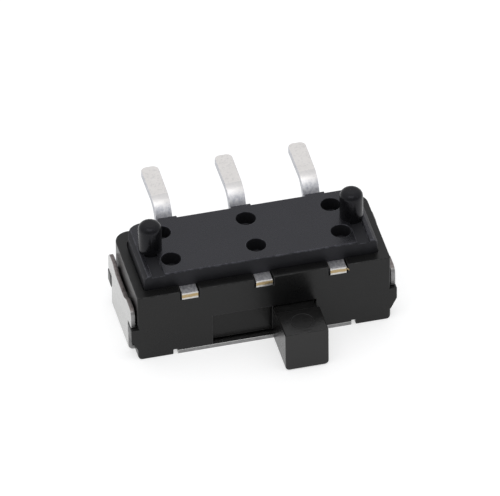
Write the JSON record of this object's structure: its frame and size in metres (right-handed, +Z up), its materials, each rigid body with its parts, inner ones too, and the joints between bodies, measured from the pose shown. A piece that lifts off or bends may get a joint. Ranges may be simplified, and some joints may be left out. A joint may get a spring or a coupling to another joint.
{
  "type": "slide switch",
  "caption": "Miniature side-action slide switch: black moulded body with a snapped-on metal cover, bent solder feet, locating pegs and a small square knob.",
  "frame": {"origin": "centre of the metal cover's outer face, which the switch lies on", "axes": "+X along the knob's travel, +Y away from the knob towards the solder feet, +Z up towards the pegs and the solder side"},
  "size_m": [0.009, 0.0075, 0.0042],
  "materials": {
    "housing_plastic": "satin black moulding",
    "block_plastic": "satin black moulding, slightly blue",
    "terminal_metal": "dull silver plating with a bare brass cut at the stub",
    "cover_metal": "bright plated sheet",
    "slider_plastic": "satin black moulding",
    "contact_metal": "bright spring strip"
  },
  "bodies": {
    "switch_body": {"housing": "housing_plastic", "terminal_block": "block_plastic", "terminal_left": "terminal_metal", "terminal_middle": "terminal_metal", "terminal_right": "terminal_metal", "cover": "cover_metal"},
    "slider": {"slider": "slider_plastic", "moving_contact": "contact_metal"}
  },
  "joints": [
    {"name": "slider_slide", "type": "slide", "parent": "switch_body", "child": "slider", "axis": [1, 0, 0], "range_m": [-0.002, 0]}
  ]
}
